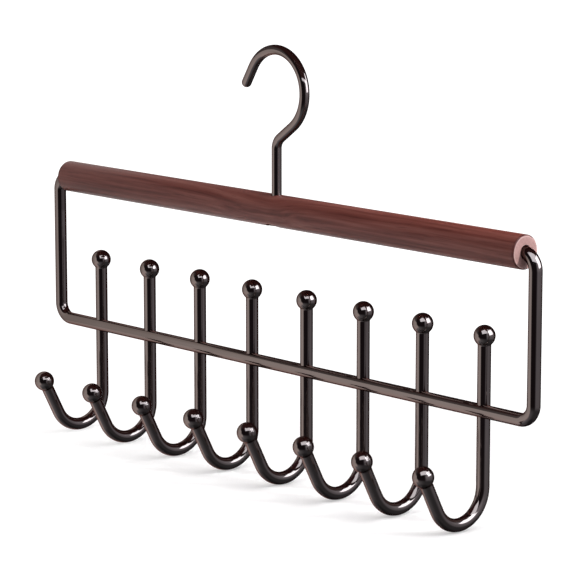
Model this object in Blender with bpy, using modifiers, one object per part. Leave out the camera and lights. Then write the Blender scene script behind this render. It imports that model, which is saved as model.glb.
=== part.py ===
"""Belt rack: a wood dowel on a swivel hook carries a bent wire frame with a row of J hooks.

Metres, +Z up. The origin is the rod seat, the inside of the hook's crown, where a closet rod
bears. The dowel and the frame lie along X, and the J hooks reach forward, to -Y.
Run with: blender --background --python part.py
"""

import math

import bmesh
import bpy

MM = 0.001

# Gaps and cuts
CLEARANCE = 0.3 * MM            # between two pieces that touch on the real rack
OVERRUN = 2.0 * MM              # how far a cutter runs past what it cuts
MERGE_DISTANCE = 0.01 * MM      # vertices closer than this are one vertex
SHARP_ANGLE = math.radians(35)  # a wider angle between two faces is shaded as an edge

# Wood dowel
DOWEL_RADIUS = 8.0 * MM
DOWEL_CHAMFER = 0.5 * MM
DOWEL_REACH = 1.7 * MM          # how far the dowel's right end reaches over the frame's bend
END_HOLE_DEPTH = 22.0 * MM      # how much straight wire at each end of the frame is in the dowel
END_HOLE_CLEARANCE = 0.5 * MM   # round the wire, where its bend starts inside the right hole

# Frame, one wire bent four times
FRAME_WIRE_RADIUS = 3.175 * MM
FRAME_BEND_RADIUS = 8.0 * MM    # at the wire's centre line
ROW_MARGIN = 32.5 * MM          # from an outer shank's axis to the frame's side
HEADROOM = 28.7 * MM            # from the top balls up to the dowel

# Belt hooks
HOOK_COUNT = 8
HOOK_PITCH = 40.0 * MM
HOOK_WIRE_RADIUS = 3.175 * MM
NOTCH_WEB = 1.2 * MM            # metal left behind the rail, where it is let into a shank
SHANK_RISE = 34.6 * MM          # from the rail's axis up to the top ball's centre
SHANK_DROP = 35.5 * MM          # from the rail's axis down to the centre of the hook's bend
HOOK_BEND_RADIUS = 15.6 * MM    # at the wire's centre line
ARM_LEAN = math.radians(27.0)   # how far the front arm leans out from upright
ARM_LENGTH = 19.6 * MM          # from the end of the bend to the tip ball's centre
BALL_WALL = 1.625 * MM          # between a ball's socket and its surface, at the centre

# Swivel hook
STEM_RADIUS = 2.5 * MM
STEM_RISE = 22.3 * MM           # from the dowel's top to the start of the neck
NECK_RADIUS = 6.7 * MM
NECK_ANGLE = math.radians(54.7)
CROWN_RADIUS = 20.0 * MM        # at the wire's centre line
MOUTH_ANGLE = math.radians(148.4)   # where the crown's arc ends, from +X over the top
TIP_RUN = 9.3 * MM              # straight wire from there to the rounded tip

# Washer and peened head that hold the stem in the dowel
HEAD_LIP = 1.4 * MM             # how far the head stands out past the stem
HEAD_STEP = 0.2 * MM            # height of the slope from the stem to the head's full width
HEAD_HEIGHT = 1.6 * MM
HEAD_RECESS = 0.8 * MM          # how far the head lies inside the dowel's underside
WASHER_LIP = 1.1 * MM           # how far the washer stands out past the head
WASHER_THICKNESS = 1.0 * MM

# How finely round shapes are faceted
WIRE_BEVEL_RESOLUTION = 4
DOWEL_SIDES = 48
HOLE_SIDES = 24
BALL_STEPS = 16
BALL_ARC_STEPS = 6
WASHER_STEPS = 32
ARC_STEP = math.radians(13.0)
CROWN_STEP = math.radians(9.0)
TIP_STEPS = 4
TIP_TURN = math.radians(80)     # how far the tip's rounding goes before its small flat end

# Worked out in the rack's own frame, whose origin is the middle of the dowel's axis
SIDE_X = HOOK_PITCH * (HOOK_COUNT - 1) / 2 + ROW_MARGIN
BEND_START_X = SIDE_X - FRAME_BEND_RADIUS
WIRE_END_X = BEND_START_X - END_HOLE_DEPTH
DOWEL_LENGTH = 2 * BEND_START_X + DOWEL_REACH
DOWEL_X = DOWEL_REACH / 2
SOCKET_RADIUS = HOOK_WIRE_RADIUS + CLEARANCE
BALL_RADIUS = SOCKET_RADIUS + BALL_WALL
TOP_BALL_Z = -DOWEL_RADIUS - HEADROOM - BALL_RADIUS
RAIL_Z = TOP_BALL_Z - SHANK_RISE
SHANK_Y = FRAME_WIRE_RADIUS + CLEARANCE + NOTCH_WEB - HOOK_WIRE_RADIUS
BORE_RADIUS = STEM_RADIUS + CLEARANCE
HEAD_RADIUS = STEM_RADIUS + HEAD_LIP
WASHER_RADIUS = HEAD_RADIUS + WASHER_LIP
HEAD_BOTTOM_Z = -DOWEL_RADIUS + HEAD_RECESS
HEAD_TOP_Z = HEAD_BOTTOM_Z + HEAD_HEIGHT
WASHER_BOTTOM_Z = HEAD_TOP_Z + CLEARANCE
SHELF_Z = WASHER_BOTTOM_Z + WASHER_THICKNESS + CLEARANCE

# Worked out from the rod seat down to the dowel. The neck's straight run is as long as it
# takes to put the crown's centre over the stem.
CROWN_Z = STEM_RADIUS - CROWN_RADIUS
NECK_OFFSET = CROWN_RADIUS * math.cos(NECK_ANGLE) - NECK_RADIUS * (1 - math.cos(NECK_ANGLE))
NECK_RUN = NECK_OFFSET / math.sin(NECK_ANGLE)
NECK_HEIGHT = (CROWN_RADIUS + NECK_RADIUS) * math.sin(NECK_ANGLE) + NECK_RUN * math.cos(NECK_ANGLE)
NECK_START_Z = CROWN_Z - NECK_HEIGHT
DOWEL_Z = NECK_START_Z - STEM_RISE - DOWEL_RADIUS


def clear_scene():
    for item in list(bpy.data.objects):
        bpy.data.objects.remove(item, do_unlink=True)


def make_collection(name):
    collection = bpy.data.collections.new(name)
    bpy.context.scene.collection.children.link(collection)
    return collection


def make_material(name, color, roughness, metallic):
    material = bpy.data.materials.new(name)
    material.use_nodes = True
    shader = material.node_tree.nodes["Principled BSDF"]
    shader.inputs["Base Color"].default_value = (*color, 1)
    shader.inputs["Roughness"].default_value = roughness
    shader.inputs["Metallic"].default_value = metallic
    return material


def add_object(name, data, collection, parent=None, material=None):
    """Put data in the scene as a named object; a shared mesh keeps its first material."""
    item = bpy.data.objects.new(name, data)
    collection.objects.link(item)
    item.parent = parent
    if material and not data.materials:
        data.materials.append(material)
    return item


def arc(center, radius, start, end, step):
    """Points (u, v) on an arc from angle start to angle end, both ends included."""
    count = math.ceil(abs(end - start) / step)
    angles = [start + (end - start) * i / count for i in range(count + 1)]
    return [(center[0] + radius * math.cos(a), center[1] + radius * math.sin(a)) for a in angles]


def wire_curve(name, points, radius, scales=None):
    """A round wire along points, with a factor on its radius at each point if scales is given."""
    curve = bpy.data.curves.new(name, "CURVE")
    curve.dimensions = "3D"
    curve.bevel_depth = radius
    curve.bevel_resolution = WIRE_BEVEL_RESOLUTION
    curve.use_fill_caps = True
    spline = curve.splines.new("POLY")
    spline.points.add(len(points) - 1)
    for i, (x, y, z) in enumerate(points):
        spline.points[i].co = (x, y, z, 1)
        spline.points[i].radius = scales[i] if scales else 1
    return curve


def smooth(mesh):
    mesh.shade_smooth()
    mesh.set_sharp_from_angle(angle=SHARP_ANGLE)


def curve_to_mesh(curve_object):
    """Swap a curve object for a mesh object with welded caps, which a Boolean can cut."""
    evaluated = curve_object.evaluated_get(bpy.context.evaluated_depsgraph_get())
    mesh = bpy.data.meshes.new_from_object(evaluated)
    shape = bmesh.new()
    shape.from_mesh(mesh)
    bmesh.ops.remove_doubles(shape, verts=shape.verts, dist=MERGE_DISTANCE)
    shape.to_mesh(mesh)
    shape.free()
    smooth(mesh)
    name = curve_object.name
    solid = bpy.data.objects.new(name + "_solid", mesh)
    for collection in curve_object.users_collection:
        collection.objects.link(solid)
    solid.parent = curve_object.parent
    solid.matrix_world = curve_object.matrix_world
    bpy.data.objects.remove(curve_object, do_unlink=True)
    solid.name = name
    return solid


def cylinder_mesh(name, radius, length, sides):
    """A closed cylinder along Z, centred on its origin."""
    mesh = bpy.data.meshes.new(name)
    shape = bmesh.new()
    bmesh.ops.create_cone(shape, cap_ends=True, segments=sides, radius1=radius, radius2=radius,
                          depth=length)
    shape.to_mesh(mesh)
    shape.free()
    smooth(mesh)
    return mesh


def turned_mesh(name, profile, closed=False):
    """The edges of a profile of (radius, z) points, for a Screw modifier about Z."""
    mesh = bpy.data.meshes.new(name)
    edges = [(i, i + 1) for i in range(len(profile) - 1)]
    if closed:
        edges.append((len(profile) - 1, 0))
    mesh.from_pydata([(radius, 0, z) for radius, z in profile], edges, [])
    return mesh


def turn(item, steps):
    screw = item.modifiers.new("turn", "SCREW")
    screw.angle = math.tau
    screw.steps = steps
    screw.render_steps = steps
    screw.use_merge_vertices = True
    screw.merge_threshold = MERGE_DISTANCE
    screw.use_smooth_shade = True


def cut(item, cutter):
    boolean = item.modifiers.new("cut by " + cutter.name, "BOOLEAN")
    boolean.operation = "DIFFERENCE"
    boolean.solver = "EXACT"
    boolean.object = cutter


def add_cutter(name, radius, length, collection, parent):
    cutter = add_object(name, cylinder_mesh(name, radius, length, HOLE_SIDES), collection, parent)
    cutter.hide_render = True
    cutter.display_type = "WIRE"
    return cutter


def add_dowel(parts, cutters, rack, wood):
    """The dowel, with a blind hole in each end and a counterbored hole for the stem."""
    mesh = cylinder_mesh("wood_dowel", DOWEL_RADIUS, DOWEL_LENGTH, DOWEL_SIDES)
    dowel = add_object("wood_dowel", mesh, parts, rack, wood)
    dowel.location.x = DOWEL_X
    dowel.rotation_euler.y = math.pi / 2
    bevel = dowel.modifiers.new("chamfer", "BEVEL")
    bevel.width = DOWEL_CHAMFER
    bevel.segments = 1
    bevel.limit_method = "ANGLE"

    for side, label in ((-1, "left"), (1, "right")):
        bottom = side * (WIRE_END_X - CLEARANCE)
        mouth = DOWEL_X + side * (DOWEL_LENGTH / 2 + OVERRUN)
        hole = add_cutter(f"{label}_end_hole", FRAME_WIRE_RADIUS + END_HOLE_CLEARANCE,
                          abs(mouth - bottom), cutters, rack)
        hole.location.x = (mouth + bottom) / 2
        hole.rotation_euler.y = math.pi / 2
        cut(dowel, hole)

    bore = add_cutter("stem_bore", BORE_RADIUS, 2 * (DOWEL_RADIUS + OVERRUN), cutters, rack)
    cut(dowel, bore)
    recess_bottom = -DOWEL_RADIUS - OVERRUN
    recess = add_cutter("washer_recess", WASHER_RADIUS + CLEARANCE, SHELF_Z - recess_bottom,
                        cutters, rack)
    recess.location.z = (SHELF_Z + recess_bottom) / 2
    cut(dowel, recess)


def add_frame(parts, rack, metal):
    """One wire from inside the dowel's left end, down, along the rail, up and in on the right."""
    top_bend = arc((BEND_START_X, -FRAME_BEND_RADIUS), FRAME_BEND_RADIUS, math.pi / 2, 0,
                   ARC_STEP)
    rail_bend = arc((BEND_START_X, RAIL_Z + FRAME_BEND_RADIUS), FRAME_BEND_RADIUS, 0,
                    -math.pi / 2, ARC_STEP)
    right = [(WIRE_END_X, 0)] + top_bend + rail_bend
    left = [(-x, z) for x, z in right]
    path = [(x, 0, z) for x, z in left + right[::-1]]
    add_object("frame_wire", wire_curve("frame_wire", path, FRAME_WIRE_RADIUS), parts, rack, metal)


def belt_hook_path():
    """Down the shank, round the bend and up the leaning arm, from ball centre to ball centre."""
    bend_center = (SHANK_Y - HOOK_BEND_RADIUS, RAIL_Z - SHANK_DROP)
    bend = arc(bend_center, HOOK_BEND_RADIUS, 0, ARM_LEAN - math.pi, ARC_STEP)
    arm_y, arm_z = bend[-1]
    tip = (arm_y - ARM_LENGTH * math.sin(ARM_LEAN), arm_z + ARM_LENGTH * math.cos(ARM_LEAN))
    return [(SHANK_Y, TOP_BALL_Z)] + bend + [tip]


def ball_profile():
    """A ball with a blind socket from below that ends just past its centre."""
    mouth_angle = -math.acos(SOCKET_RADIUS / BALL_RADIUS)
    step = (math.pi / 2 - mouth_angle) / BALL_ARC_STEPS
    outside = arc((0, 0), BALL_RADIUS, math.pi / 2, mouth_angle, step)
    return [(0, BALL_RADIUS)] + outside[1:] + [(SOCKET_RADIUS, CLEARANCE), (0, CLEARANCE)]


def add_belt_hooks(parts, cutters, rack, metal):
    """Every hook is one wire, notched where the rail is let into it, with a ball on each end."""
    path = belt_hook_path()
    curve = wire_curve("belt_hook", [(0, y, z) for y, z in path], HOOK_WIRE_RADIUS)
    pattern = curve_to_mesh(add_object("belt_hook", curve, parts, rack, metal))
    hook_mesh = pattern.data
    bpy.data.objects.remove(pattern, do_unlink=True)
    ball_mesh = turned_mesh("ball", ball_profile())

    notch = add_cutter("rail_notch", FRAME_WIRE_RADIUS + CLEARANCE, DOWEL_LENGTH, cutters, rack)
    notch.location.z = RAIL_Z
    notch.rotation_euler.y = math.pi / 2

    for i in range(HOOK_COUNT):
        x = (i - (HOOK_COUNT - 1) / 2) * HOOK_PITCH
        hook = add_object(f"belt_hook_{i + 1}", hook_mesh, parts, rack, metal)
        hook.location.x = x
        cut(hook, notch)
        for label, (y, z), lean in (("top", path[0], 0), ("tip", path[-1], ARM_LEAN)):
            ball = add_object(f"{label}_ball_{i + 1}", ball_mesh, parts, rack, metal)
            ball.location = (x, y, z)
            ball.rotation_euler.x = lean
            turn(ball, BALL_STEPS)


def add_washer(parts, rack, metal):
    """The washer between the peened head and the shelf in the dowel."""
    top = WASHER_BOTTOM_Z + WASHER_THICKNESS
    profile = [(WASHER_RADIUS, top), (WASHER_RADIUS, WASHER_BOTTOM_Z),
               (BORE_RADIUS, WASHER_BOTTOM_Z), (BORE_RADIUS, top)]
    washer = add_object("thrust_washer", turned_mesh("thrust_washer", profile, closed=True), parts,
                        rack, metal)
    turn(washer, WASHER_STEPS)


def add_swivel_hook(parts, metal):
    """Peened head, stem, neck, crown and a rounded tip, as one wire; it stays put in the world."""
    head_scale = HEAD_RADIUS / STEM_RADIUS
    head = [(0, DOWEL_Z + HEAD_BOTTOM_Z), (0, DOWEL_Z + HEAD_TOP_Z - HEAD_STEP)]
    stem = [(0, DOWEL_Z + HEAD_TOP_Z)]
    neck = arc((NECK_RADIUS, NECK_START_Z), NECK_RADIUS, math.pi, math.pi - NECK_ANGLE, ARC_STEP)
    crown = arc((0, CROWN_Z), CROWN_RADIUS, -NECK_ANGLE, MOUTH_ANGLE, CROWN_STEP)

    end_x, end_z = crown[-1]
    along_x = -math.sin(MOUTH_ANGLE)
    along_z = math.cos(MOUTH_ANGLE)
    tip = []
    tip_scales = []
    for i in range(TIP_STEPS + 1):
        turned = TIP_TURN * i / TIP_STEPS
        reach = TIP_RUN + STEM_RADIUS * math.sin(turned)
        tip.append((end_x + along_x * reach, end_z + along_z * reach))
        tip_scales.append(math.cos(turned))

    body = stem + neck + crown
    scales = [head_scale] * len(head) + [1] * len(body) + tip_scales
    path = [(x, 0, z) for x, z in head + body + tip]
    add_object("swivel_hook", wire_curve("swivel_hook", path, STEM_RADIUS, scales), parts,
               material=metal)


def build():
    clear_scene()
    parts = make_collection("belt_rack")
    cutters = make_collection("belt_rack_cutters")
    wood = make_material("stained_wood", (0.115, 0.042, 0.033), 0.45, 0)
    metal = make_material("dark_bronze", (0.055, 0.040, 0.037), 0.25, 0.9)

    # What swivels on the stem hangs from this empty, which stands on the swivel's axis
    rack = bpy.data.objects.new("rack", None)
    parts.objects.link(rack)
    rack.location.z = DOWEL_Z

    add_swivel_hook(parts, metal)
    add_washer(parts, rack, metal)
    add_dowel(parts, cutters, rack, wood)
    add_frame(parts, rack, metal)
    bpy.context.view_layer.update()
    add_belt_hooks(parts, cutters, rack, metal)


build()
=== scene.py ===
import math

import bpy
import numpy as np
from mathutils import Matrix, Vector


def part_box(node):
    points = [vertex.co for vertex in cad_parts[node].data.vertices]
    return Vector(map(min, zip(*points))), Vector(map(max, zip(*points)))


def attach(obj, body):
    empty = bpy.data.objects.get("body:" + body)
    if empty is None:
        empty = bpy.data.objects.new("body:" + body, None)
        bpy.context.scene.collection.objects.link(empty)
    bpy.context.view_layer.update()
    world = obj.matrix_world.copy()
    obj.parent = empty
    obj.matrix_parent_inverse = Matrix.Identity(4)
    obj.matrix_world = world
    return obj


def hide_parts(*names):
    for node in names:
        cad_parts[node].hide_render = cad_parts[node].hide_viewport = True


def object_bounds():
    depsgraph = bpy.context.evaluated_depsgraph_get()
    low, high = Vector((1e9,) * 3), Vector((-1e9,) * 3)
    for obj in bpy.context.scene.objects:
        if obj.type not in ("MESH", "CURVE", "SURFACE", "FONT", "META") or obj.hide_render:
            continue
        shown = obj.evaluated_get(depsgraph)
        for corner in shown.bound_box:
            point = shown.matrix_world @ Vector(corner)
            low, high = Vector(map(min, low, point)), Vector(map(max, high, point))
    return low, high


# The belt rack's looks: smooth wires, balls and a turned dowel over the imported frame, their
# finishes, and a plain white studio. Metres, +Z up, in the frame's own place.
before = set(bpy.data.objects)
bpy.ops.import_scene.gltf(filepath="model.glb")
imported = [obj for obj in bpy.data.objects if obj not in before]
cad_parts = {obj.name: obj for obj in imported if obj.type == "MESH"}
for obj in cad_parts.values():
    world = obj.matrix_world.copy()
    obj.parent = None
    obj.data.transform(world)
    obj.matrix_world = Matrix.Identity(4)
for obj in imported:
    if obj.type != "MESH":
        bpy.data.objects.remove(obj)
cad_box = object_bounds()

MM = 0.001
SKIN = 0.04 * MM                # how far a smooth surface lies inside the facets it replaces
PHOTO_SIZE = 576                # pixels on each side

# Dowel, along X through its axis
DOWEL_RADIUS = 8.0 * MM
DOWEL_CHAMFER = 0.5 * MM
DOWEL_EDGE = 0.12 * MM          # rounding between the chamfer and its neighbours
DOWEL_EASE = 0.3 * DOWEL_EDGE   # how far that rounding cuts the corner
END_HOLE_DEPTH = 22.0 * MM      # how much straight wire lies in each end hole
END_HOLE_RADIUS = 3.25 * MM
END_HOLE_SPARE = 0.3 * MM       # past the wire's end
END_HOLE_EASE = 0.1 * MM        # small bevel round each end hole's mouth
BORE_RADIUS = 2.62 * MM         # round the stem
RECESS_RADIUS = 5.3 * MM        # of the counterbore for the washer and the head
SHELF_RISE = 4.0 * MM           # from the dowel's underside up to the shelf over the washer
BORE_PAST = 2.0 * MM            # how far the bore's cutter reaches past the dowel

# Frame wire
FRAME_WIRE_RADIUS = 3.175 * MM
FRAME_BEND_RADIUS = 8.0 * MM
SIDE_X = 172.5 * MM             # from the middle out to the axis of each upright side
BEND_START_X = SIDE_X - FRAME_BEND_RADIUS
RAIL_DROP = 76.4 * MM           # from the dowel's axis down to the rail's axis

# Belt hooks
HOOK_COUNT = 8
HOOK_WIRE_RADIUS = 3.175 * MM
SHANK_Y = 1.5 * MM              # how far the shanks lie behind the rail
SHANK_RISE = 34.6 * MM          # from the rail's axis up to the top ball's centre
SHANK_DROP = 35.5 * MM          # from the rail's axis down to the centre of the bend
HOOK_BEND_RADIUS = 15.6 * MM
ARM_LEAN = math.radians(27.0)
ARM_LENGTH = 19.6 * MM          # from the bend's end to the tip ball's centre
BALL_RADIUS = 5.1 * MM
BRAZE_RADIUS = 1.0 * MM         # hollow of the braze between a ball and its wire

# Swivel hook, washer and peened head
STEM_RADIUS = 2.5 * MM
STEM_RISE = 22.3 * MM           # straight stem above the dowel
NECK_RADIUS = 6.7 * MM          # this and the crown's are at the wire's axis
NECK_ANGLE = math.radians(54.7)
CROWN_RADIUS = 20.0 * MM
MOUTH_ANGLE = math.radians(148.4)  # how far the crown's wire turns on past straight up
TIP_RUN = 9.3 * MM
TIP_TURN = math.radians(80)     # how much of its quarter round the tip has before its pole
HEAD_RECESS = 0.8 * MM          # from the dowel's underside up to the head
HEAD_HEIGHT = 1.6 * MM
HEAD_RADIUS = 3.9 * MM
HEAD_EDGE = 0.5 * MM
WASHER_GAP = 0.3 * MM
WASHER_THICKNESS = 1.0 * MM
WASHER_HOLE = 2.8 * MM
WASHER_RADIUS = 5.0 * MM
WASHER_EDGE = 0.15 * MM

# Fineness
WIRE_SIDES = 48
DOWEL_SIDES = 144
HEAD_EDGE_STEPS = 5
WASHER_EDGE_STEPS = 3
FILLET_STEPS = 6
BALL_STEPS = 28
TIP_RINGS = 8
BEND_STEP = math.radians(2.5)
SHARP_ANGLE = math.radians(35)

dowel_low, dowel_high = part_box("wood_dowel")
DOWEL_Z = (dowel_low.z + dowel_high.z) / 2
DOWEL_LEFT = dowel_low.x
DOWEL_RIGHT = dowel_high.x      # reaches a little over the frame's bend
RAIL_Z = DOWEL_Z - RAIL_DROP
TOP_BALL_Z = RAIL_Z + SHANK_RISE
HOOK_X = [sum(corner.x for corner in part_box(f"belt_hook_{i + 1}")) / 2 for i in range(HOOK_COUNT)]

# The two planes that the wires are bent in, each as its first and second direction
ACROSS_PLANE = (np.array([1.0, 0.0, 0.0]), np.array([0.0, 0.0, 1.0]))
HOOK_PLANE = (np.array([0.0, 1.0, 0.0]), np.array([0.0, 0.0, 1.0]))


# Shapes

def bend_wire(start, heading, moves):
    """Points and headings along a wire bent flat, from moves of (bend radius, amount).

    With no radius the wire runs straight by that length. With one it turns by that angle about a
    centre one radius to its side, so a point is centre + side * radius * (sin, -cos) of heading.
    """
    points = [np.array([start])]
    headings = [np.array([heading])]
    for radius, amount in moves:
        here = points[-1][-1]
        if radius == 0:
            ways = np.array([heading])
            run = here + amount * np.array([[math.cos(heading), math.sin(heading)]])
        else:
            side = math.copysign(1.0, amount)
            count = math.ceil(abs(amount) / BEND_STEP)
            ways = heading + amount * np.arange(1, count + 1) / count
            reach = side * radius
            center = here - reach * np.array([math.sin(heading), -math.cos(heading)])
            run = center + reach * np.stack([np.sin(ways), -np.cos(ways)], axis=1)
            heading += amount
        points.append(run)
        headings.append(ways)
    return np.concatenate(points), np.concatenate(headings)


def straight_path(start, heading, reaches):
    """Points at given reaches along one heading from start, with that heading at each."""
    reaches = np.array(reaches)
    way = np.array([math.cos(heading), math.sin(heading)])
    return np.array(start) + reaches[:, None] * way, np.full(len(reaches), heading)


def quarter_round(center, radius, start, end, count):
    """Points (radius, reach) on an arc about a centre, from angle start to angle end in degrees:
    centre + radius * (cos, sin) of the angle."""
    angles = np.radians(np.linspace(start, end, count + 1))
    return [(center[0] + radius * math.cos(a), center[1] + radius * math.sin(a)) for a in angles]


def round_surface(name, path, radii, plane, offset=(0, 0, 0), sides=WIRE_SIDES, loop=False):
    """A round section carried along a flat path, as one closed mesh object.

    A ring's point is path + radius * (cos a * across + sin a * out), where across is the path's
    left side in its plane and out is the plane's normal. A first and last radius of 0 is a pole,
    or loop joins the last ring to the first. The attribute "unrolled" holds where each point
    would be on the straightened piece: (length along it, radius * cos a, radius * sin a).
    """
    points, headings = path
    radii = np.array(radii, dtype=float)
    first, second = plane
    out = np.cross(first, second)
    centers = np.array(offset) + points[:, :1] * first + points[:, 1:] * second
    across = -np.sin(headings)[:, None] * first + np.cos(headings)[:, None] * second
    angles = math.tau * np.arange(sides) / sides
    ring = np.cos(angles)[None, :, None] * across[:, None, :] + np.sin(angles)[:, None] * out
    surface = centers[:, None, :] + radii[:, None, None] * ring

    steps = np.linalg.norm(np.diff(np.column_stack([points, radii]), axis=0), axis=1)
    length = np.concatenate([[0.0], np.cumsum(steps)])
    unrolled = np.stack([np.broadcast_to(length[:, None], surface.shape[:2]),
                         radii[:, None] * np.cos(angles), radii[:, None] * np.sin(angles)], axis=2)

    if loop:
        rings = np.arange(len(radii))
        vertices = surface.reshape(-1, 3)
        straight = unrolled.reshape(-1, 3)
        pairs = np.stack([rings, np.roll(rings, -1)], axis=1)
    else:
        vertices = np.concatenate([surface[1:-1].reshape(-1, 3), centers[[0, -1]]])
        straight = np.concatenate([unrolled[1:-1].reshape(-1, 3), unrolled[[0, -1], 0]])
        rings = np.arange(len(radii) - 2)
        pairs = np.stack([rings[:-1], rings[1:]], axis=1)
    here = np.arange(sides)
    after = np.roll(here, -1)
    low = pairs[:, :1] * sides
    high = pairs[:, 1:] * sides
    quads = np.stack([low + here, low + after, high + after, high + here], axis=2).reshape(-1, 4)
    faces = quads.tolist()
    if not loop:
        start_pole = len(vertices) - 2
        last = rings[-1] * sides
        faces += np.stack([np.full(sides, start_pole), after, here], axis=1).tolist()
        faces += np.stack([last + here, last + after, np.full(sides, start_pole + 1)],
                          axis=1).tolist()

    mesh = bpy.data.meshes.new(name)
    mesh.from_pydata(vertices.tolist(), [], faces)
    attribute = mesh.attributes.new("unrolled", "FLOAT_VECTOR", "POINT")
    attribute.data.foreach_set("vector", straight.astype(np.float32).ravel())
    mesh.shade_smooth()
    mesh.set_sharp_from_angle(angle=SHARP_ANGLE)
    piece = bpy.data.objects.new(name, mesh)
    bpy.context.scene.collection.objects.link(piece)
    return piece


def wire(name, path, radius, plane, offset=(0, 0, 0)):
    """A wire of one thickness along a path. Its flat ends are a ring and a pole at one place."""
    points, headings = path
    points = np.concatenate([points[:1], points, points[-1:]])
    headings = np.concatenate([headings[:1], headings, headings[-1:]])
    radii = np.full(len(points), radius)
    radii[[0, -1]] = 0
    return round_surface(name, (points, headings), radii, plane, offset)


def turned(name, start, heading, profile, plane, offset=(0, 0, 0), sides=WIRE_SIDES, loop=False):
    """A turned shape: a profile of (radius, reach) carried round the line that runs from start
    along heading."""
    radii, reaches = zip(*profile)
    path = straight_path(start, heading, reaches)
    return round_surface(name, path, radii, plane, offset, sides, loop)


def make_frame_wire():
    """From inside the dowel's left end, down, along the rail, up and into the right end."""
    quarter = math.pi / 2
    bend = (FRAME_BEND_RADIUS, quarter)
    end = (0, END_HOLE_DEPTH)
    side = (0, RAIL_DROP - 2 * FRAME_BEND_RADIUS)
    rail = (0, 2 * BEND_START_X)
    moves = [end, bend, side, bend, rail, bend, side, bend, end]
    start = (END_HOLE_DEPTH - BEND_START_X, DOWEL_Z)
    return wire("frame_bent_wire", bend_wire(start, math.pi, moves),
                FRAME_WIRE_RADIUS - SKIN, ACROSS_PLANE)


def belt_hook_path():
    """Down the shank, round the bend and up the leaning arm, from ball centre to ball centre."""
    moves = [(0, SHANK_RISE + SHANK_DROP), (HOOK_BEND_RADIUS, ARM_LEAN - math.pi),
             (0, ARM_LENGTH)]
    return bend_wire((SHANK_Y, TOP_BALL_Z), -math.pi / 2, moves)


def ball_profile():
    """A ball with a hollow fillet of braze down to its wire, from the wire's side to the far pole.

    The fillet's centre is where circles of ball + braze and wire + braze radius meet.
    """
    ball = BALL_RADIUS - SKIN
    wire_radius = HOOK_WIRE_RADIUS - SKIN
    across = wire_radius + BRAZE_RADIUS
    reach = -math.sqrt((ball + BRAZE_RADIUS) ** 2 - across ** 2)
    lean = math.degrees(math.atan2(-reach, across))
    fillet = quarter_round((across, reach), BRAZE_RADIUS, 180, 180 - lean, FILLET_STEPS)
    sphere = quarter_round((0, 0), ball, -lean, 90, BALL_STEPS)
    inner = [(0, reach), (wire_radius - SKIN, reach)]
    return inner + fillet + sphere[1:-1] + [(0, ball)]


def make_belt_hooks():
    """Each hook's wire and its two balls, as (piece, node) pairs."""
    points, headings = belt_hook_path()
    profile = ball_profile()
    made = []
    for i, x in enumerate(HOOK_X):
        label = i + 1
        offset = (x, 0, 0)
        hook = wire(f"belt_hook_wire_{label}", (points, headings), HOOK_WIRE_RADIUS - SKIN,
                    HOOK_PLANE, offset)
        made.append((hook, f"belt_hook_{label}"))
        for end, spot, way in (("top", points[0], math.pi / 2),
                               ("tip", points[-1], headings[-1])):
            ball = turned(f"{end}_ball_round_{label}", spot, way, profile, HOOK_PLANE, offset)
            made.append((ball, f"{end}_ball_{label}"))
    return made


def make_swivel_hook():
    """Peened head, stem, neck, crown and rounded tip, as one wire.

    The head is a disc with rounded edges, and the tip rounds off by most of a quarter circle.
    """
    stem = STEM_RADIUS - SKIN
    head_bottom = DOWEL_Z - DOWEL_RADIUS + HEAD_RECESS
    head_top = head_bottom + HEAD_HEIGHT
    neck_offset = CROWN_RADIUS * math.cos(NECK_ANGLE) - NECK_RADIUS * (1 - math.cos(NECK_ANGLE))
    neck_run = neck_offset / math.sin(NECK_ANGLE)
    neck_start = DOWEL_Z + DOWEL_RADIUS + STEM_RISE
    moves = [(0, neck_start - head_top), (NECK_RADIUS, -NECK_ANGLE), (0, neck_run),
             (CROWN_RADIUS, NECK_ANGLE + MOUTH_ANGLE), (0, TIP_RUN)]
    points, headings = bend_wire((0, head_top), math.pi / 2, moves)

    head_side = HEAD_RADIUS - HEAD_EDGE
    head = ([(0, 0)] + quarter_round((head_side, HEAD_EDGE), HEAD_EDGE, -90, 0, HEAD_EDGE_STEPS)
            + quarter_round((head_side, HEAD_HEIGHT - HEAD_EDGE), HEAD_EDGE, 0, 90,
                            HEAD_EDGE_STEPS))
    head_points, head_headings = straight_path((0, head_bottom), math.pi / 2,
                                               [reach for _, reach in head])
    turns = np.linspace(0, TIP_TURN, TIP_RINGS)[1:]
    tip_points, tip_headings = straight_path(points[-1], headings[-1], stem * np.sin(turns))
    tip_radii = stem * np.cos(turns)

    path = (np.concatenate([head_points, points, tip_points, tip_points[-1:]]),
            np.concatenate([head_headings, headings, tip_headings, tip_headings[-1:]]))
    radii = np.concatenate([[radius for radius, _ in head], np.full(len(points), stem),
                            tip_radii, [0]])
    return round_surface("swivel_hook_wire", path, radii, ACROSS_PLANE)


def make_washer():
    """A flat ring with eased edges, between the head and the shelf in the dowel."""
    bottom = DOWEL_Z - DOWEL_RADIUS + HEAD_RECESS + HEAD_HEIGHT + WASHER_GAP
    outer = WASHER_RADIUS - WASHER_EDGE
    inner = WASHER_HOLE + WASHER_EDGE
    low = WASHER_EDGE
    high = WASHER_THICKNESS - WASHER_EDGE
    profile = []
    for center, start in (((inner, low), 180), ((outer, low), 270), ((outer, high), 0),
                          ((inner, high), 90)):
        profile += quarter_round(center, WASHER_EDGE, start, start + 90, WASHER_EDGE_STEPS)
    return turned("thrust_washer_ring", (0, bottom), math.pi / 2, profile, ACROSS_PLANE, loop=True)


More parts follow.
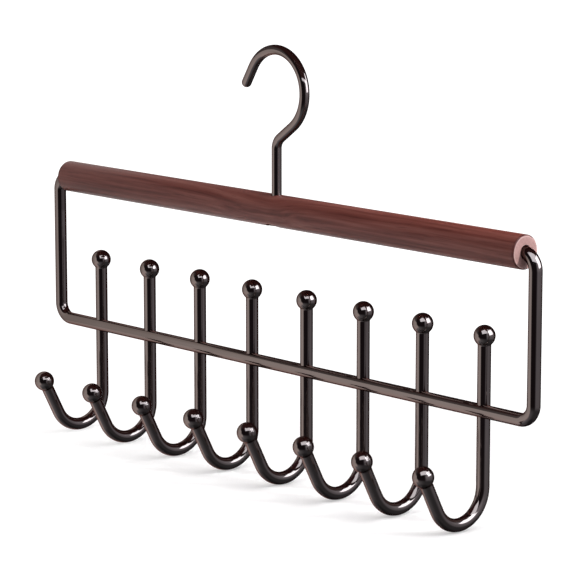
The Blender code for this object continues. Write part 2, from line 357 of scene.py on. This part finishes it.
def dowel_end_profile(end, way):
    """From the dowel's side over the chamfer and the flat face down to the end hole's bottom.

    end is where the face is along X, and way is 1 at the right and -1 at the left.
    """
    radius = DOWEL_RADIUS - SKIN
    face = radius - DOWEL_CHAMFER
    bottom = BEND_START_X - END_HOLE_DEPTH - END_HOLE_SPARE
    return [(radius, end - way * (DOWEL_CHAMFER + DOWEL_EDGE)),
            (radius - DOWEL_EASE, end - way * (DOWEL_CHAMFER - DOWEL_EASE)),
            (face + DOWEL_EASE, end - way * DOWEL_EASE),
            (face - DOWEL_EDGE, end),
            (0.5 * (face + END_HOLE_RADIUS), end),
            (END_HOLE_RADIUS + END_HOLE_EASE, end),
            (END_HOLE_RADIUS, end - way * END_HOLE_EASE),
            (END_HOLE_RADIUS, way * bottom),
            (0, way * bottom)]


def make_dowel():
    """A turned dowel whose profile starts and ends in its end holes, bored through for the stem."""
    right = dowel_end_profile(DOWEL_RIGHT - SKIN, 1)
    left = dowel_end_profile(DOWEL_LEFT + SKIN, -1)
    dowel = turned("dowel_turned", (0, DOWEL_Z), 0.0, left[::-1] + right, ACROSS_PLANE,
                   sides=DOWEL_SIDES)

    shelf = SHELF_RISE + BORE_PAST
    top = 2 * DOWEL_RADIUS + 2 * BORE_PAST
    cutter = turned("stem_bore", (0, DOWEL_Z - DOWEL_RADIUS - BORE_PAST), math.pi / 2,
                    [(0, 0), (RECESS_RADIUS, 0), (RECESS_RADIUS, shelf), (BORE_RADIUS, shelf),
                     (BORE_RADIUS, top), (0, top)], ACROSS_PLANE)
    cut = dowel.modifiers.new("stem_bore", "BOOLEAN")
    cut.operation = "DIFFERENCE"
    cut.solver = "EXACT"
    cut.object = cutter
    bpy.context.view_layer.update()
    finished = bpy.data.meshes.new_from_object(
        dowel.evaluated_get(bpy.context.evaluated_depsgraph_get()))
    dowel.modifiers.clear()
    dowel.data = finished
    bpy.data.objects.remove(cutter, do_unlink=True)
    finished.shade_smooth()
    finished.set_sharp_from_angle(angle=SHARP_ANGLE)
    return dowel


def bare_faces(dowel):
    """Which of the dowel's faces show bare end grain: its end faces within the chamfer, and the
    walls of its end holes."""
    centers = np.empty(len(dowel.data.polygons) * 3, dtype=np.float32)
    dowel.data.polygons.foreach_get("center", centers)
    along, back, height = centers.reshape(-1, 3).T
    from_axis = np.hypot(back, height - DOWEL_Z)
    at_end = (along > DOWEL_RIGHT - 2 * SKIN) | (along < DOWEL_LEFT + 2 * SKIN)
    inside = from_axis < DOWEL_RADIUS - DOWEL_CHAMFER - DOWEL_EASE
    away_from_bore = np.abs(along) > 4 * RECESS_RADIUS
    hole_wall = (from_axis < END_HOLE_RADIUS + END_HOLE_EASE) & away_from_bore
    return (at_end & inside) | hole_wall


def smooth_step(values, edge, width):
    """0 below edge - width / 2, 1 above edge + width / 2, with a smooth rise between."""
    part = np.clip((values - edge) / width + 0.5, 0, 1)
    return part * part * (3 - 2 * part)


# Finishes

class Shade:
    """A socket of a finish. Sums and products of shades and numbers add Math nodes."""

    def __init__(self, finish, socket):
        self.finish = finish
        self.socket = socket

    def math(self, operation, *inputs):
        return self.finish.node("ShaderNodeMath", {"operation": operation},
                                dict(enumerate(inputs)))

    def __add__(self, other):
        return self.math("ADD", self, other)

    def __radd__(self, other):
        return self.math("ADD", other, self)

    def __sub__(self, other):
        return self.math("SUBTRACT", self, other)

    def __rsub__(self, other):
        return self.math("SUBTRACT", other, self)

    def __mul__(self, other):
        return self.math("MULTIPLY", self, other)

    def __rmul__(self, other):
        return self.math("MULTIPLY", other, self)

    def __abs__(self):
        return self.math("ABSOLUTE", self)

    def root(self):
        return self.math("SQRT", self)

    def at_most(self, limit):
        return self.math("MINIMUM", self, limit)

    def hill(self, middle, reach):
        """1 at the middle, falling off smoothly to both sides: exp(-((x - middle) / reach)^2)."""
        away = (self - middle) * (1 / reach)
        return self.math("EXPONENT", 0 - away * away)

    def rise(self, low, high):
        """0 up to low, 1 from high on, and straight between them."""
        settings = {"clamp": True}
        values = {"Value": self, "From Min": low, "From Max": high}
        return self.finish.node("ShaderNodeMapRange", settings, values)


class Finish:
    """A material and the nodes that make it."""

    def __init__(self, name):
        self.material = bpy.data.materials.new(name)
        self.material.use_nodes = True
        self.tree = self.material.node_tree
        self.shader = self.tree.nodes["Principled BSDF"]

    def node(self, kind, settings=None, inputs=None, output=0):
        """A node's output, with its settings made first and then its values or links."""
        node = self.tree.nodes.new(kind)
        for key, value in (settings or {}).items():
            if key == "stops":
                elements = node.color_ramp.elements
                while len(elements) < len(value):
                    elements.new(0.5)
                for element, (position, color) in zip(elements, value):
                    element.position = position
                    element.color = (*color, 1)
            else:
                setattr(node, key, value)
        self.fill(node, inputs or {})
        return Shade(self, node.outputs[output])

    def fill(self, node, inputs):
        """Put numbers in a node's sockets, or link shades to them."""
        for key, value in inputs.items():
            if isinstance(value, Shade):
                self.tree.links.new(value.socket, node.inputs[key])
            else:
                node.inputs[key].default_value = value

    def place(self, scale=(1, 1, 1), location=(0, 0, 0)):
        """Object coordinates, stretched by scale and then moved by location."""
        here = self.node("ShaderNodeTexCoord", output="Object")
        return self.node("ShaderNodeMapping", None,
                         {"Vector": here, "Scale": scale, "Location": location})

    def stretch(self, vector, scale):
        """A vector stretched by scale."""
        return self.node("ShaderNodeMapping", None, {"Vector": vector, "Scale": scale})

    def unrolled(self, scale):
        """Coordinates on the straightened wire, stretched by scale."""
        here = self.node("ShaderNodeAttribute", {"attribute_name": "unrolled"}, output="Vector")
        return self.stretch(here, scale)

    def part(self, vector, axis):
        """One of a vector's three numbers."""
        return self.node("ShaderNodeSeparateXYZ", None, {0: vector}, output=axis)

    def noise(self, vector, detail=2.0, roughness=0.5):
        """Noise at a vector, from 0 to 1."""
        return self.node("ShaderNodeTexNoise", None, {"Vector": vector, "Scale": 1.0,
                                                      "Detail": detail, "Roughness": roughness})

    def blend(self, factor, first, second):
        """Colour first where factor is 0 and second where it is 1."""
        return self.node("ShaderNodeMix", {"data_type": "RGBA"},
                         {0: factor, 6: color4(first), 7: color4(second)}, output=2)

    def bump(self, height, distance, strength):
        """A normal from a height from 0 to 1."""
        return self.node("ShaderNodeBump", None,
                         {"Height": height, "Distance": distance, "Strength": strength})


def color4(value):
    """A colour with its alpha of 1, or a shade as it is."""
    return value if isinstance(value, Shade) else (*value, 1)


DARKER_PLATING = (0.196, 0.157, 0.143)
LIGHTER_PLATING = (0.224, 0.183, 0.169)
# Painted shade: a near-black plating colour for the wire just outside the dowel's ends, and how much
# of it
PAINTED_SHADE_PLATING = (0.030, 0.016, 0.013)
PAINTED_SHADE_SHARE = 0.85


def dark_bronze():
    """Glossy dark plating: warm grey reflections that stay dark at the edges, with a slight
    unevenness in its gloss, faint streaks drawn along the wire, and painted shade: the wire is
    darkened where the frame leaves the dowel's ends, in place of its reflection of the end grain."""
    finish = Finish("dark_bronze_plating")
    here = finish.place()
    sideways, height = abs(finish.part(here, 0)), finish.part(here, 2)
    # Painted shade: darkens the wire just outside each end of the dowel, where it would mirror the
    # pale end grain
    painted_shade = ((1 - sideways.rise(DOWEL_RIGHT + 1 * MM, DOWEL_RIGHT + 5 * MM))
             * sideways.rise(BEND_START_X - 12 * MM, BEND_START_X - 10 * MM)
             * height.rise(DOWEL_Z - 20 * MM, DOWEL_Z - 18 * MM))
    streaks = finish.noise(finish.unrolled((9, 650, 650)))
    cloud = finish.noise(finish.unrolled((60, 140, 140)))
    color = finish.blend(0.5 * streaks.rise(0.3, 0.7) + 0.5 * cloud.rise(0.3, 0.7),
                         DARKER_PLATING, LIGHTER_PLATING)
    finish.fill(finish.shader, {
        "Base Color": finish.blend(PAINTED_SHADE_SHARE * painted_shade, color, PAINTED_SHADE_PLATING),
        "Metallic": 1.0,
        "Roughness": 0.055 + 0.045 * cloud,
        "Specular Tint": (0.34, 0.25, 0.25, 1),
    })
    return finish.material


GRAIN_SAG = 3.0 * MM            # how far the grain bows near the swivel's hole
GRAIN_WAVER = 2.2 * MM
SAG_MIDDLE = -6 * MM            # where along X it bows most
SAG_REACH = 24 * MM
PORE_COLOR = (0.030, 0.006, 0.005)


def stained_side_grain():
    """Mahogany stain on straight grain: streaks of tone along X that bow and waver beside the
    swivel's hole, a few dark pores, darker where the stain gathered at the turned ends, all
    under a clear satin lacquer."""
    finish = Finish("stained_side_grain")
    here = finish.place()
    along, back, height = (finish.part(here, axis) for axis in range(3))
    waver = finish.noise(finish.place((26, 75, 75))) - 0.5
    near_hole = along.hill(SAG_MIDDLE, SAG_REACH)
    shift = GRAIN_SAG * near_hole + GRAIN_WAVER * waver * (0.6 + 1.6 * near_hole)
    grain = finish.node("ShaderNodeCombineXYZ", None, {0: along, 1: back + shift, 2: height + shift})
    fine = finish.noise(finish.stretch(grain, (20, 640, 640)), 3.0, 0.55)
    broad = finish.noise(finish.stretch(grain, (6, 210, 210)))
    pores = finish.noise(finish.stretch(grain, (70, 2300, 2300)), 1.0)
    tone = finish.node("ShaderNodeValToRGB", {
        "stops": [(0.34, (0.056, 0.0120, 0.0088)), (0.45, (0.094, 0.0240, 0.0182)),
                  (0.55, (0.130, 0.0395, 0.0310)), (0.68, (0.182, 0.0670, 0.0540))],
    }, {0: 0.45 * fine + 0.55 * broad})
    half = (DOWEL_RIGHT - DOWEL_LEFT) / 2
    from_middle = abs(along - (DOWEL_RIGHT + DOWEL_LEFT) / 2)
    gathered = from_middle.rise(half - 1.6 * MM, half - 0.5 * MM)
    dark = 0.45 * pores.rise(0.62, 0.74) + 0.55 * gathered
    finish.fill(finish.shader, {
        "Base Color": finish.blend(dark.at_most(0.7), tone, PORE_COLOR),
        "Roughness": 0.5,
        "Specular IOR Level": 0.12,
        "Coat Weight": 0.26,
        "Coat Roughness": 0.21,
        "Normal": finish.bump(fine, 0.00004, 0.25),
    })
    return finish.material


# Painted highlight: a paler colour round the edge of each end face
PAINTED_RIM_HIGHLIGHT = (0.42, 0.272, 0.250)


def bare_end_grain():
    """Sawn end grain: pale pink-brown with fine specks and clouds, and a paler rim, which is a
    painted highlight where the end's edge catches the light.
    """
    finish = Finish("bare_end_grain")
    here = finish.place(location=(0, 0, -DOWEL_Z))
    specks = finish.noise(finish.place((900, 1500, 1500)), 3.0, 0.6)
    cloud = finish.noise(finish.place((100, 330, 330)))
    tone = finish.node("ShaderNodeValToRGB", {
        "stops": [(0.28, (0.240, 0.123, 0.109)), (0.5, (0.302, 0.168, 0.152)),
                  (0.75, (0.362, 0.210, 0.191))],
    }, {0: 0.6 * specks + 0.4 * cloud})
    back, height = finish.part(here, 1), finish.part(here, 2)
    from_axis = (back * back + height * height).root()
    # Painted highlight: the end face turns paler near its edge
    rim_highlight = from_axis.rise(DOWEL_RADIUS - 1.3 * MM, DOWEL_RADIUS - 0.9 * MM)
    finish.fill(finish.shader, {
        "Base Color": finish.blend(0.6 * rim_highlight, tone, PAINTED_RIM_HIGHLIGHT),
        "Roughness": 0.75,
        "Normal": finish.bump(specks, 0.00005, 0.3),
    })
    return finish.material


# The object

bronze = dark_bronze()
metal_pieces = [(make_frame_wire(), "frame_wire"), (make_washer(), "thrust_washer")]
metal_pieces += make_belt_hooks()
for piece, node in metal_pieces:
    piece.data.materials.append(bronze)
    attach(piece, "rack")
    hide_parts(node)

swivel_hook = make_swivel_hook()
swivel_hook.data.materials.append(bronze)
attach(swivel_hook, "hook")
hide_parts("swivel_hook")

dowel = make_dowel()
dowel.data.materials.clear()
dowel.data.materials.append(stained_side_grain())
dowel.data.materials.append(bare_end_grain())
dowel.data.polygons.foreach_set("material_index", bare_faces(dowel).astype(np.int32))
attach(dowel, "rack")
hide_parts("wood_dowel")


# The studio

VIEW_AZIMUTH = math.radians(48.075)
VIEW_ELEVATION = math.radians(10.143)
VIEW_DISTANCE = 1411.15 * MM
VIEW_RIGHT = 5.49 * MM          # how far the picture's centre lies right of the dowel's middle
VIEW_UP = -37.64 * MM
FOCAL_PIXELS = 2903.0
SENSOR_WIDTH = 36.0
FURTHEST_SEEN = 50.0

toward = Vector((math.sin(VIEW_AZIMUTH) * math.cos(VIEW_ELEVATION),
                 -math.cos(VIEW_AZIMUTH) * math.cos(VIEW_ELEVATION), math.sin(VIEW_ELEVATION)))
right = Vector((math.cos(VIEW_AZIMUTH), math.sin(VIEW_AZIMUTH), 0))
up = toward.cross(right)
camera_data = bpy.data.cameras.new("photo_camera")
camera_data.sensor_width = SENSOR_WIDTH
camera_data.lens = FOCAL_PIXELS / PHOTO_SIZE * SENSOR_WIDTH
camera_data.clip_end = FURTHEST_SEEN
camera = bpy.data.objects.new("photo_camera", camera_data)
bpy.context.scene.collection.objects.link(camera)
camera_place = (Vector((0, 0, DOWEL_Z)) + VIEW_RIGHT * right + VIEW_UP * up
                + VIEW_DISTANCE * toward)
camera_turn = Matrix((right, up, toward)).transposed().to_4x4()
camera.matrix_world = Matrix.Translation(camera_place) @ camera_turn
bpy.context.scene.camera = camera

# Floor: white paper that glows to the camera. Round the rack most of it is lit paper instead,
# which shows the rack's soft shadows.
FLOOR_GAP = 0.1 * MM
FLOOR_SPAN = 6.0
PAPER_WHITE = 0.95
PAPER_ROUGHNESS = 0.9
GLOW_STRENGTH = 1.25
NEAR_GLOW = 0.30                # the glow's share round the rack
NEAR_MIDDLE_X = 0.08
NEAR_REACH = (0.23, 0.40)       # how far from (NEAR_MIDDLE_X, 0, 0) that share grows to all

floor_z = cad_box[0][2] - FLOOR_GAP
floor_mesh = bpy.data.meshes.new("white_floor")
floor_mesh.from_pydata([(-FLOOR_SPAN, -FLOOR_SPAN, floor_z), (FLOOR_SPAN, -FLOOR_SPAN, floor_z),
                        (FLOOR_SPAN, FLOOR_SPAN, floor_z), (-FLOOR_SPAN, FLOOR_SPAN, floor_z)],
                       [], [(0, 1, 2, 3)])
floor = bpy.data.objects.new("white_floor", floor_mesh)
bpy.context.scene.collection.objects.link(floor)
paper = Finish("white_paper")
paper.fill(paper.shader, {"Base Color": color4((PAPER_WHITE, PAPER_WHITE, PAPER_WHITE)),
                          "Roughness": PAPER_ROUGHNESS, "Specular IOR Level": 0.0})
seen = paper.node("ShaderNodeLightPath", output="Is Camera Ray")
glow = paper.node("ShaderNodeEmission", None, {"Color": (1, 1, 1, 1), "Strength": GLOW_STRENGTH})
from_rack = paper.node("ShaderNodeVectorMath", {"operation": "LENGTH"},
                       {0: paper.place(location=(-NEAR_MIDDLE_X, 0, 0))}, output="Value")
glow_share = NEAR_GLOW + (1 - NEAR_GLOW) * from_rack.rise(*NEAR_REACH)
mixed = paper.node("ShaderNodeMixShader", None,
                   {0: glow_share * seen, 1: Shade(paper, paper.shader.outputs[0]), 2: glow})
paper.fill(paper.tree.nodes["Material Output"], {"Surface": mixed})
floor_mesh.materials.append(paper.material)
floor.visible_glossy = False

# Cards all round the set: white on the left, dark behind the camera and above, dim
# blue-grey on the right, and the table below, which dims to the right. The camera looks past them.
CARD_RADIUS = 0.90
CARD_CENTER = np.array([0.0, 0.0, -0.118])
CARD_ROWS = 120
CARD_STEP = 2                   # degrees of azimuth between the columns
CARD_END = 89.5                 # elevation of the last row
WHITE_CARD = (1.0, 0.985, 0.99)
LOWER_WHITE = (1.12, 1.05, 1.04)  # brighter towards the floor
DARK_CARD = (0.027, 0.021, 0.026)
CEILING = (0.085, 0.036, 0.036)
DARK_RED_WALL = (0.065, 0.024, 0.024)
BLUE_GREY_CARD = (0.35, 0.365, 0.415)
TABLE_TINT = (0.96, 1.03, 1.15)
TABLE_RIGHT_LEVEL = 0.10
TABLE_LEFT_EXTRA = 0.30
HIGHER_GREY_EXTRA = 0.7

# Their soft edges in degrees, each as (middle, width)
CEILING_EDGE = (42, 26)
WALL_EDGE = (104, 20)
GREY_LEFT_EDGE = (25, 22)
GREY_LOW_EDGE = (-27, 22)
GREY_HIGH_EDGE = (30, 20)
GREY_BRIGHTENS = (-2, 16)
TABLE_EDGE = (-24, 22)
TABLE_DIMS = (-25, 110)
TABLE_NADIR = (-60, 16)         # below it the table is half as bright
WHITE_TINTS = (-26, 30)

# The white card's right edge swings right low down and left high up, its lower edge rises near
# its right end, and it dims in two steps with height
WHITE_RIGHT = -66
WHITE_RIGHT_WIDTH = 18
WHITE_SWING = 20
WHITE_SWINGS_RIGHT = (-12, 30)
WHITE_SWINGS_LEFT = (24, 26)
WHITE_LOW = -60
WHITE_LOW_WIDTH = 20
WHITE_LOW_RISE = 22
WHITE_LOW_RISES = (-82, 24)
WHITE_FIRST_DIM = 0.80
WHITE_DIMS = (2, 16)
WHITE_LAST_DIM = 0.20
WHITE_ENDS = (42, 30)


def card_colors(azimuth, elevation):
    """Brightness of the cards, by azimuth from the camera (positive to its right) and elevation in
    degrees. Each card covers those before it."""
    ceiling = smooth_step(elevation, *CEILING_EDGE)
    wall = smooth_step(azimuth, *WALL_EDGE)
    blue_grey = (smooth_step(azimuth, *GREY_LEFT_EDGE) * (1 - wall)
                 * smooth_step(elevation, *GREY_LOW_EDGE)
                 * (1 - smooth_step(elevation, *GREY_HIGH_EDGE)))
    grey_level = 1 + HIGHER_GREY_EXTRA * smooth_step(elevation, *GREY_BRIGHTENS)
    table = 1 - smooth_step(elevation, *TABLE_EDGE)
    table_level = ((TABLE_RIGHT_LEVEL + TABLE_LEFT_EXTRA * (1 - smooth_step(azimuth, *TABLE_DIMS)))
                   * (0.5 + 0.5 * smooth_step(elevation, *TABLE_NADIR)))
    white_right = (WHITE_RIGHT
                   + WHITE_SWING * (1 - smooth_step(elevation, *WHITE_SWINGS_RIGHT))
                   - WHITE_SWING * smooth_step(elevation, *WHITE_SWINGS_LEFT))
    white_low = WHITE_LOW + WHITE_LOW_RISE * smooth_step(azimuth, *WHITE_LOW_RISES)
    white = ((1 - smooth_step(azimuth, white_right, WHITE_RIGHT_WIDTH))
             * smooth_step(elevation, white_low, WHITE_LOW_WIDTH)
             * (1 - WHITE_FIRST_DIM * smooth_step(elevation, *WHITE_DIMS)
                - WHITE_LAST_DIM * smooth_step(elevation, *WHITE_ENDS)))
    lower = 1 - smooth_step(elevation, *WHITE_TINTS)

    grey_color = grey_level[..., None] * np.array(BLUE_GREY_CARD)
    table_color = table_level[..., None] * np.array(TABLE_TINT)
    white_color = np.array(WHITE_CARD) * (1 + lower[..., None] * (np.array(LOWER_WHITE) - 1))
    colors = np.broadcast_to(DARK_CARD, azimuth.shape + (3,))
    for amount, color in ((ceiling, CEILING), (wall, DARK_RED_WALL), (blue_grey, grey_color),
                          (table, table_color), (white, white_color)):
        colors = colors + amount[..., None] * (np.array(color) - colors)
    return colors


# The cards are a ball open at its poles: centre + radius * (cos latitude * cos longitude,
# cos latitude * sin longitude, sin latitude)
latitude = np.radians(np.linspace(-CARD_END, CARD_END, CARD_ROWS))[:, None]
longitude = np.radians(np.arange(0, 360, CARD_STEP))[None, :]
directions = np.stack([np.cos(latitude) * np.cos(longitude), np.cos(latitude) * np.sin(longitude),
                       np.sin(latitude) + 0 * longitude], axis=2)
rows, columns = directions.shape[:2]
low = np.arange(rows - 1)[:, None] * columns
here = np.arange(columns)
after = np.roll(here, -1)
card_faces = np.stack([low + here, low + columns + here, low + columns + after, low + after],
                      axis=2).reshape(-1, 4)
card_mesh = bpy.data.meshes.new("studio_cards")
card_mesh.from_pydata((CARD_CENTER + CARD_RADIUS * directions).reshape(-1, 3).tolist(), [],
                      card_faces.tolist())
side_of_view = directions @ np.array(right)
front_of_view = directions @ np.array([toward.x, toward.y, 0]) / math.cos(VIEW_ELEVATION)
azimuths = np.degrees(np.arctan2(side_of_view, front_of_view))
elevations = np.degrees(np.arcsin(directions[:, :, 2]))
card_glow = card_mesh.attributes.new("card_glow", "FLOAT_COLOR", "POINT")
rgba = np.concatenate([card_colors(azimuths, elevations), np.ones((rows, columns, 1))], axis=2)
card_glow.data.foreach_set("color", rgba.astype(np.float32).ravel())
cards = bpy.data.objects.new("studio_cards", card_mesh)
bpy.context.scene.collection.objects.link(cards)
card = Finish("studio_card")
card_color = card.node("ShaderNodeAttribute", {"attribute_name": "card_glow"}, output="Color")
card.fill(card.tree.nodes["Material Output"],
          {"Surface": card.node("ShaderNodeEmission", None, {"Color": card_color, "Strength": 1.0})})
card_mesh.materials.append(card.material)
cards.visible_camera = False
cards.visible_transmission = False
cards.visible_shadow = False

# World: white to the camera and in gloss, and a plain soft fill on everything else
FILL_LEVEL = 0.5
world = bpy.data.worlds.new("white_studio")
bpy.context.scene.world = world
world.use_nodes = True
nodes = world.node_tree.nodes
links = world.node_tree.links
rays = nodes.new("ShaderNodeLightPath")
shown = rays.outputs["Is Camera Ray"]
for kind in ("Is Glossy Ray", "Is Transmission Ray"):
    either = nodes.new("ShaderNodeMath")
    either.operation = "MAXIMUM"
    links.new(shown, either.inputs[0])
    links.new(rays.outputs[kind], either.inputs[1])
    shown = either.outputs[0]
level = nodes.new("ShaderNodeMapRange")
level.inputs["To Min"].default_value = FILL_LEVEL
level.inputs["To Max"].default_value = 1.0
links.new(shown, level.inputs["Value"])
nodes["Background"].inputs["Color"].default_value = (1, 1, 1, 1)
links.new(level.outputs[0], nodes["Background"].inputs["Strength"])


def faced(place, target):
    """The setting of an object at place whose -Z looks at target."""
    aim = Vector(target) - Vector(place)
    return Matrix.Translation(place) @ aim.to_track_quat("-Z", "Y").to_matrix().to_4x4()


def softbox(name, place, width, height, brightness):
    """An area lamp that faces the set's middle, as bright as a card of that colour level: its
    power is brightness * pi * its area."""
    data = bpy.data.lights.new(name, "AREA")
    data.shape = "RECTANGLE"
    data.size = width
    data.size_y = height
    data.energy = brightness * math.pi * width * height
    lamp = bpy.data.objects.new(name, data)
    bpy.context.scene.collection.objects.link(lamp)
    lamp.matrix_world = faced(place, SET_MIDDLE)
    lamp.visible_camera = False
    return lamp


# Two softboxes that only gloss shows, and three lamps that light only the matt surfaces: one on
# the wood's front, a wide one from above right for the floor, and a small one on the dowel's
# right end, where the frame's bend shades the end grain
SET_MIDDLE = tuple(CARD_CENTER)
SOFTBOX_COLOR = (0.88, 1.0, 1.12)
END_LAMP_PLACE = (0.560, 0.190, 0.215)
END_LAMP_ANGLE = math.radians(17)
END_LAMP_BLEND = 0.6
END_LAMP_RADIUS = 0.06
END_LAMP_POWER = 14.0

for box in (softbox("key_softbox", (0.475, 0.235, 0.140), width=0.42, height=0.37,
                    brightness=6.0),
            softbox("upper_softbox", (0.425, -0.200, 0.405), width=0.92, height=0.50,
                    brightness=2.8)):
    box.data.color = SOFTBOX_COLOR
    box.visible_diffuse = False
for lamp in (softbox("front_lamp", (-0.10, -0.52, 0.30), width=0.40, height=0.30,
                     brightness=4.7),
             softbox("floor_lamp", (0.350, 0.170, 0.620), width=1.20, height=1.20,
                     brightness=3.5)):
    lamp.visible_glossy = False
end_data = bpy.data.lights.new("end_lamp", "SPOT")
end_data.spot_size = END_LAMP_ANGLE
end_data.spot_blend = END_LAMP_BLEND
end_data.shadow_soft_size = END_LAMP_RADIUS
end_data.energy = END_LAMP_POWER
end_lamp = bpy.data.objects.new("end_lamp", end_data)
bpy.context.scene.collection.objects.link(end_lamp)
end_lamp.matrix_world = faced(END_LAMP_PLACE, (DOWEL_RIGHT, 0.0, DOWEL_Z))
end_lamp.visible_camera = False
end_lamp.visible_glossy = False

# A dark flag between the swivel hook and the upper softbox, and a white board left of the rack
FLAG_PLACE = (0.105, -0.034, 0.095)
FLAG_TARGET = (0.0, 0.0, -0.015)
FLAG_HALF = 0.13                # half its width
FLAG_LOW = -0.05
FLAG_HIGH = 0.06
BOARD_X = -0.26
BOARD_FRONT = -1.0
BOARD_BACK = 0.10
BOARD_TOP = 0.03
BOARD_COLOR = (0.72, 0.70, 0.69)
CARD_SHADING = (0.08, 0.24)     # from where to where a near card shades, towards the front


def near_card(name, corners, color, front_color):
    """A flat card beside the rack that only its gloss shows, and that shades from one colour to
    the other between two distances in front of the rack."""
    mesh = bpy.data.meshes.new(name)
    mesh.from_pydata(corners, [], [(0, 1, 2, 3)])
    near = bpy.data.objects.new(name, mesh)
    bpy.context.scene.collection.objects.link(near)
    finish = Finish(name)
    in_front = 0 - finish.part(finish.place(), 1)
    shade = finish.blend(in_front.rise(*CARD_SHADING), color, front_color)
    finish.fill(finish.tree.nodes["Material Output"],
                {"Surface": finish.node("ShaderNodeEmission", None, {"Color": shade})})
    mesh.materials.append(finish.material)
    near.visible_camera = False
    near.visible_diffuse = False
    near.visible_transmission = False
    near.visible_shadow = False
    return near


flag = near_card("dark_flag", [(-FLAG_HALF, FLAG_LOW, 0), (FLAG_HALF, FLAG_LOW, 0),
                               (FLAG_HALF, FLAG_HIGH, 0), (-FLAG_HALF, FLAG_HIGH, 0)],
                 CEILING, CEILING)
flag.matrix_world = faced(FLAG_PLACE, FLAG_TARGET)
near_card("white_board", [(BOARD_X, BOARD_BACK, floor_z), (BOARD_X, BOARD_FRONT, floor_z),
                          (BOARD_X, BOARD_FRONT, BOARD_TOP), (BOARD_X, BOARD_BACK, BOARD_TOP)],
          BOARD_COLOR, WHITE_CARD)

view = bpy.context.scene.view_settings
view.view_transform = "Standard"
